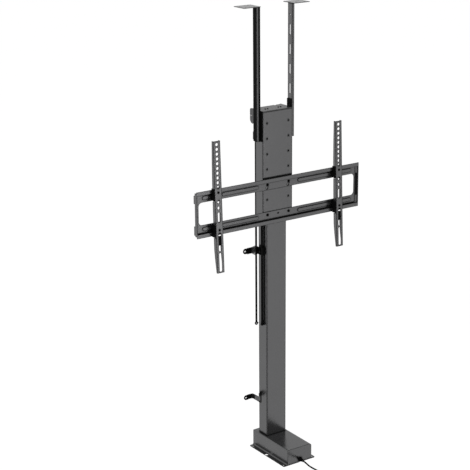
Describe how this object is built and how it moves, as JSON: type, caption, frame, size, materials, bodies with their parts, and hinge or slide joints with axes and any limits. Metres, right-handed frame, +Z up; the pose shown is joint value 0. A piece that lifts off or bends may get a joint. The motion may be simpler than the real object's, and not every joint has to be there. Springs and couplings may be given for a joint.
{
  "type": "motorized tv lift column",
  "caption": "Floor-standing motorised screen lift: long base box, telescoping column, sliding carriage with slotted rail frame, two hooked screen arms, two lid supports and wall straps.",
  "frame": {"origin": "on the floor, at the underside of the base plate, straight below the column's centre line", "axes": "+Z up along the column; -Y towards the front, where the base box and the screen arms reach out; +Y towards the wall; +X to the right as seen from the front"},
  "size_m": [0.768, 0.5601, 1.807],
  "materials": {
    "steel_coat": "fine textured dark grey powder coat",
    "cap_coat": "fine textured grey powder coat",
    "black_coat": "satin black coat",
    "black_plastic": "matt black plastic",
    "zinc": "zinc plated",
    "motor_coat": "black enamel",
    "nut_plastic": "natural nylon",
    "board": "green laminate",
    "cord_rubber": "soft black sheath"
  },
  "bodies": {
    "base": {"base_plate": "steel_coat", "base_housing": "steel_coat", "gearbox": "zinc", "gearbox_lid": "zinc", "motor": "motor_coat", "thrust_bearing": "zinc", "control_board": "board", "board_parts": "black_plastic", "cable_gland": "black_plastic", "outer_column": "steel_coat", "column_collar": "black_plastic", "upper_bracket": "black_coat", "rod_guide": "black_plastic", "lower_bracket": "black_coat", "bracket_screws": "black_coat", "mains_cord": "cord_rubber", "cord_coil": "cord_rubber", "coil_tie": "black_plastic", "mains_plug": "black_plastic", "plug_blades": "zinc"},
    "spindle": {"lead_screw": "zinc", "worm_wheel": "nut_plastic"},
    "worm": {"worm_shaft": "zinc"},
    "carriage": {"inner_mast": "steel_coat", "mast_head": "steel_coat", "mast_glide": "black_plastic", "screw_nut": "nut_plastic", "carriage_cover": "steel_coat", "weld_nuts": "zinc", "top_cap": "cap_coat", "cap_screws": "black_coat", "tv_frame": "steel_coat", "frame_bolts": "black_coat", "left_spacer": "black_plastic", "right_spacer": "black_plastic", "lid_bolts": "black_coat", "rod_hanger": "black_coat", "rear_rod": "black_coat", "front_rod": "black_coat"},
    "left_screen_arm": {"left_arm": "steel_coat", "left_hooks": "black_plastic", "left_arm_bolts": "black_coat"},
    "right_screen_arm": {"right_arm": "steel_coat", "right_hooks": "black_plastic", "right_arm_bolts": "black_coat"},
    "left_lid": {"left_lid_support": "steel_coat", "left_lid_plate": "steel_coat", "left_duct": "black_plastic"},
    "right_lid": {"right_lid_support": "steel_coat", "right_lid_plate": "steel_coat"}
  },
  "joints": [
    {"name": "lift", "type": "slide", "parent": "base", "child": "carriage", "axis": [0, 0, 1], "range_m": [-0.42, 0.27]},
    {"name": "spindle_turn", "type": "hinge", "parent": "base", "child": "spindle", "pos_m": [0, 0, 0.5], "axis": [0, 0, 1], "range_deg": [-19000, 12250]},
    {"name": "worm_turn", "type": "hinge", "parent": "base", "child": "worm", "pos_m": [0.024, 0, 0.032], "axis": [0, 1, 0], "range_deg": [-227800, 146800]},
    {"name": "left_arm_shift", "type": "slide", "parent": "carriage", "child": "left_screen_arm", "axis": [1, 0, 0], "range_m": [-0.055, 0.22]},
    {"name": "right_arm_shift", "type": "slide", "parent": "carriage", "child": "right_screen_arm", "axis": [1, 0, 0], "range_m": [-0.198, 0.075]},
    {"name": "left_lid_height", "type": "slide", "parent": "carriage", "child": "left_lid", "axis": [0, 0, 1], "range_m": [-0.026, 0.006]},
    {"name": "right_lid_height", "type": "slide", "parent": "carriage", "child": "right_lid", "axis": [0, 0, 1], "range_m": [-0.026, 0.006]}
  ],
  "couplings": [
    {"joint": "spindle_turn", "follows": "lift", "rad_per_m": 785.4},
    {"joint": "worm_turn", "follows": "lift", "rad_per_m": 9424.8}
  ]
}
